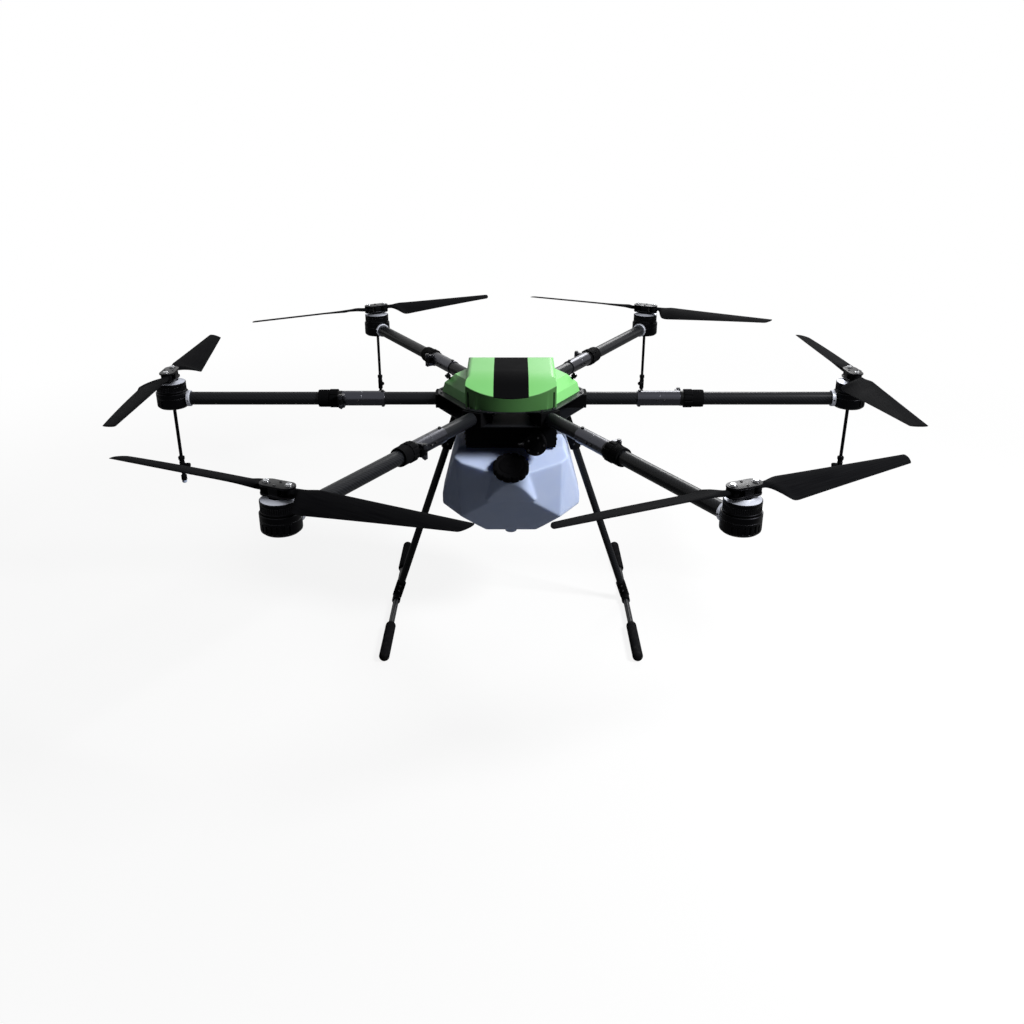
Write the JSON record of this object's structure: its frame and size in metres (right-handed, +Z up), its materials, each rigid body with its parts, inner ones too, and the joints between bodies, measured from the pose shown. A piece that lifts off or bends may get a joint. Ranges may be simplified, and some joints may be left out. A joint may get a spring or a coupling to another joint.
{
  "type": "hexacopter drone",
  "caption": "Spraying multirotor with folding arms and blades, faceted liquid tank, green canopy, drop nozzles and skid landing gear.",
  "frame": {"origin": "on the ground, under the hub axis", "axes": "+Z up, -Y to the front, where the filler cap faces, +X to the right-hand arm as seen from the front"},
  "size_m": [1.9405, 1.9909, 0.715],
  "materials": {
    "carbon": "woven carbon fibre under clear resin",
    "black_plastic": "fine moulded grain",
    "anodised": "turned and black anodised",
    "alloy": "satin silver",
    "steel": "blackened",
    "green_plastic": "glossy moulded",
    "dark_panel": "satin moulded",
    "tank_plastic": "translucent blow-moulded skin",
    "blade_composite": "satin carbon composite",
    "rubber": "matt"
  },
  "bodies": {
    "airframe": {"hub_plates": "carbon", "arm_clamps": "black_plastic", "inner_tubes": "carbon", "fold_sockets": "alloy", "fold_pins": "steel", "canopy": "green_plastic", "canopy_panel": "dark_panel", "canopy_knobs": "black_plastic", "flight_controller": "black_plastic", "battery_tray": "black_plastic", "pump": "black_plastic", "tank": "tank_plastic", "tank_hangers": "anodised", "leg_brackets": "black_plastic", "landing_legs": "carbon", "leg_tees": "black_plastic", "skid_tubes": "carbon", "skid_feet": "rubber"},
    "right_arm": {"right_arm": "carbon", "right_motor_base": "anodised", "right_nozzle": "black_plastic"},
    "right_lock_collar": {"right_lock_collar": "black_plastic"},
    "right_rotor": {"right_rotor": "anodised"},
    "right_blade_a": {"right_blade_a": "blade_composite"},
    "right_blade_b": {"right_blade_b": "blade_composite"},
    "rear_right_arm": {"rear_right_arm": "carbon", "rear_right_motor_base": "anodised", "rear_right_nozzle": "black_plastic"},
    "rear_right_lock_collar": {"rear_right_lock_collar": "black_plastic"},
    "rear_right_rotor": {"rear_right_rotor": "anodised"},
    "rear_right_blade_a": {"rear_right_blade_a": "blade_composite"},
    "rear_right_blade_b": {"rear_right_blade_b": "blade_composite"},
    "rear_left_arm": {"rear_left_arm": "carbon", "rear_left_motor_base": "anodised", "rear_left_nozzle": "black_plastic"},
    "rear_left_lock_collar": {"rear_left_lock_collar": "black_plastic"},
    "rear_left_rotor": {"rear_left_rotor": "anodised"},
    "rear_left_blade_a": {"rear_left_blade_a": "blade_composite"},
    "rear_left_blade_b": {"rear_left_blade_b": "blade_composite"},
    "left_arm": {"left_arm": "carbon", "left_motor_base": "anodised", "left_nozzle": "black_plastic"},
    "left_lock_collar": {"left_lock_collar": "black_plastic"},
    "left_rotor": {"left_rotor": "anodised"},
    "left_blade_a": {"left_blade_a": "blade_composite"},
    "left_blade_b": {"left_blade_b": "blade_composite"},
    "front_left_arm": {"front_left_arm": "carbon", "front_left_motor_base": "anodised"},
    "front_left_lock_collar": {"front_left_lock_collar": "black_plastic"},
    "front_left_rotor": {"front_left_rotor": "anodised"},
    "front_left_blade_a": {"front_left_blade_a": "blade_composite"},
    "front_left_blade_b": {"front_left_blade_b": "blade_composite"},
    "front_right_arm": {"front_right_arm": "carbon", "front_right_motor_base": "anodised"},
    "front_right_lock_collar": {"front_right_lock_collar": "black_plastic"},
    "front_right_rotor": {"front_right_rotor": "anodised"},
    "front_right_blade_a": {"front_right_blade_a": "blade_composite"},
    "front_right_blade_b": {"front_right_blade_b": "blade_composite"},
    "filler_cap": {"filler_cap": "black_plastic"},
    "battery_pack": {"battery_pack": "black_plastic"}
  },
  "joints": [
    {"name": "right_fold", "type": "hinge", "parent": "airframe", "child": "right_arm", "pos_m": [0.456, 0.031, 0.62], "axis": [0, 0, 1], "range_deg": [0, 90]},
    {"name": "right_lock", "type": "hinge", "parent": "right_arm", "child": "right_lock_collar", "pos_m": [0.49, 0, 0.62], "axis": [1, 0, 0], "range_deg": [0, 120]},
    {"name": "right_spin", "type": "hinge", "parent": "right_arm", "child": "right_rotor", "pos_m": [0.915, 0, 0.686], "axis": [0, 0, 1], "continuous": true},
    {"name": "right_blade_a_fold", "type": "hinge", "parent": "right_rotor", "child": "right_blade_a", "pos_m": [0.91298, 0.02692, 0.686], "axis": [0, 0, 1], "range_deg": [-90, 90]},
    {"name": "right_blade_b_fold", "type": "hinge", "parent": "right_rotor", "child": "right_blade_b", "pos_m": [0.91702, -0.02692, 0.686], "axis": [0, 0, -1], "range_deg": [-90, 90]},
    {"name": "rear_right_fold", "type": "hinge", "parent": "airframe", "child": "rear_right_arm", "pos_m": [0.20115, 0.41041, 0.62], "axis": [0, 0, 1], "range_deg": [0, 90]},
    {"name": "rear_right_lock", "type": "hinge", "parent": "rear_right_arm", "child": "rear_right_lock_collar", "pos_m": [0.245, 0.42435, 0.62], "axis": [0.5, 0.866, 0], "range_deg": [0, 120]},
    {"name": "rear_right_spin", "type": "hinge", "parent": "rear_right_arm", "child": "rear_right_rotor", "pos_m": [0.4575, 0.79241, 0.686], "axis": [0, 0, 1], "continuous": true},
    {"name": "rear_right_blade_a_fold", "type": "hinge", "parent": "rear_right_rotor", "child": "rear_right_blade_a", "pos_m": [0.43309, 0.80395, 0.686], "axis": [0, 0, 1], "range_deg": [-90, 90]},
    {"name": "rear_right_blade_b_fold", "type": "hinge", "parent": "rear_right_rotor", "child": "rear_right_blade_b", "pos_m": [0.48191, 0.78087, 0.686], "axis": [0, 0, -1], "range_deg": [-90, 90]},
    {"name": "rear_left_fold", "type": "hinge", "parent": "airframe", "child": "rear_left_arm", "pos_m": [-0.25485, 0.37941, 0.62], "axis": [0, 0, 1], "range_deg": [0, 90]},
    {"name": "rear_left_lock", "type": "hinge", "parent": "rear_left_arm", "child": "rear_left_lock_collar", "pos_m": [-0.245, 0.42435, 0.62], "axis": [-0.5, 0.866, 0], "range_deg": [0, 120]},
    {"name": "rear_left_spin", "type": "hinge", "parent": "rear_left_arm", "child": "rear_left_rotor", "pos_m": [-0.4575, 0.79241, 0.686], "axis": [0, 0, 1], "continuous": true},
    {"name": "rear_left_blade_a_fold", "type": "hinge", "parent": "rear_left_rotor", "child": "rear_left_blade_a", "pos_m": [-0.48134, 0.77974, 0.686], "axis": [0, 0, 1], "range_deg": [-90, 90]},
    {"name": "rear_left_blade_b_fold", "type": "hinge", "parent": "rear_left_rotor", "child": "rear_left_blade_b", "pos_m": [-0.43366, 0.80509, 0.686], "axis": [0, 0, -1], "range_deg": [-90, 90]},
    {"name": "left_fold", "type": "hinge", "parent": "airframe", "child": "left_arm", "pos_m": [-0.456, -0.031, 0.62], "axis": [0, 0, 1], "range_deg": [0, 90]},
    {"name": "left_lock", "type": "hinge", "parent": "left_arm", "child": "left_lock_collar", "pos_m": [-0.49, 0, 0.62], "axis": [-1, 0, 0], "range_deg": [0, 120]},
    {"name": "left_spin", "type": "hinge", "parent": "left_arm", "child": "left_rotor", "pos_m": [-0.915, 0, 0.686], "axis": [0, 0, 1], "continuous": true},
    {"name": "left_blade_a_fold", "type": "hinge", "parent": "left_rotor", "child": "left_blade_a", "pos_m": [-0.91538, -0.027, 0.686], "axis": [0, 0, 1], "range_deg": [-90, 90]},
    {"name": "left_blade_b_fold", "type": "hinge", "parent": "left_rotor", "child": "left_blade_b", "pos_m": [-0.91462, 0.027, 0.686], "axis": [0, 0, -1], "range_deg": [-90, 90]},
    {"name": "front_left_fold", "type": "hinge", "parent": "airframe", "child": "front_left_arm", "pos_m": [-0.20115, -0.41041, 0.62], "axis": [0, 0, 1], "range_deg": [0, 90]},
    {"name": "front_left_lock", "type": "hinge", "parent": "front_left_arm", "child": "front_left_lock_collar", "pos_m": [-0.245, -0.42435, 0.62], "axis": [-0.5, -0.866, 0], "range_deg": [0, 120]},
    {"name": "front_left_spin", "type": "hinge", "parent": "front_left_arm", "child": "front_left_rotor", "pos_m": [-0.4575, -0.79241, 0.686], "axis": [0, 0, 1], "continuous": true},
    {"name": "front_left_blade_a_fold", "type": "hinge", "parent": "front_left_rotor", "child": "front_left_blade_a", "pos_m": [-0.43291, -0.80357, 0.686], "axis": [0, 0, 1], "range_deg": [-90, 90]},
    {"name": "front_left_blade_b_fold", "type": "hinge", "parent": "front_left_rotor", "child": "front_left_blade_b", "pos_m": [-0.48209, -0.78126, 0.686], "axis": [0, 0, -1], "range_deg": [-90, 90]},
    {"name": "front_right_fold", "type": "hinge", "parent": "airframe", "child": "front_right_arm", "pos_m": [0.25485, -0.37941, 0.62], "axis": [0, 0, 1], "range_deg": [0, 90]},
    {"name": "front_right_lock", "type": "hinge", "parent": "front_right_arm", "child": "front_right_lock_collar", "pos_m": [0.245, -0.42435, 0.62], "axis": [0.5, -0.866, 0], "range_deg": [0, 120]},
    {"name": "front_right_spin", "type": "hinge", "parent": "front_right_arm", "child": "front_right_rotor", "pos_m": [0.4575, -0.79241, 0.686], "axis": [0, 0, 1], "continuous": true},
    {"name": "front_right_blade_a_fold", "type": "hinge", "parent": "front_right_rotor", "child": "front_right_blade_a", "pos_m": [0.48205, -0.78117, 0.686], "axis": [0, 0, 1], "range_deg": [-90, 90]},
    {"name": "front_right_blade_b_fold", "type": "hinge", "parent": "front_right_rotor", "child": "front_right_blade_b", "pos_m": [0.43295, -0.80365, 0.686], "axis": [0, 0, -1], "range_deg": [-90, 90]},
    {"name": "cap_turn", "type": "hinge", "parent": "airframe", "child": "filler_cap", "pos_m": [0, -0.184, 0.48284], "axis": [0, -0.4115, 0.9114], "range_deg": [0, 360]},
    {"name": "battery_slide", "type": "slide", "parent": "airframe", "child": "battery_pack", "axis": [0, 1, 0], "range_m": [0, 0.2]}
  ]
}
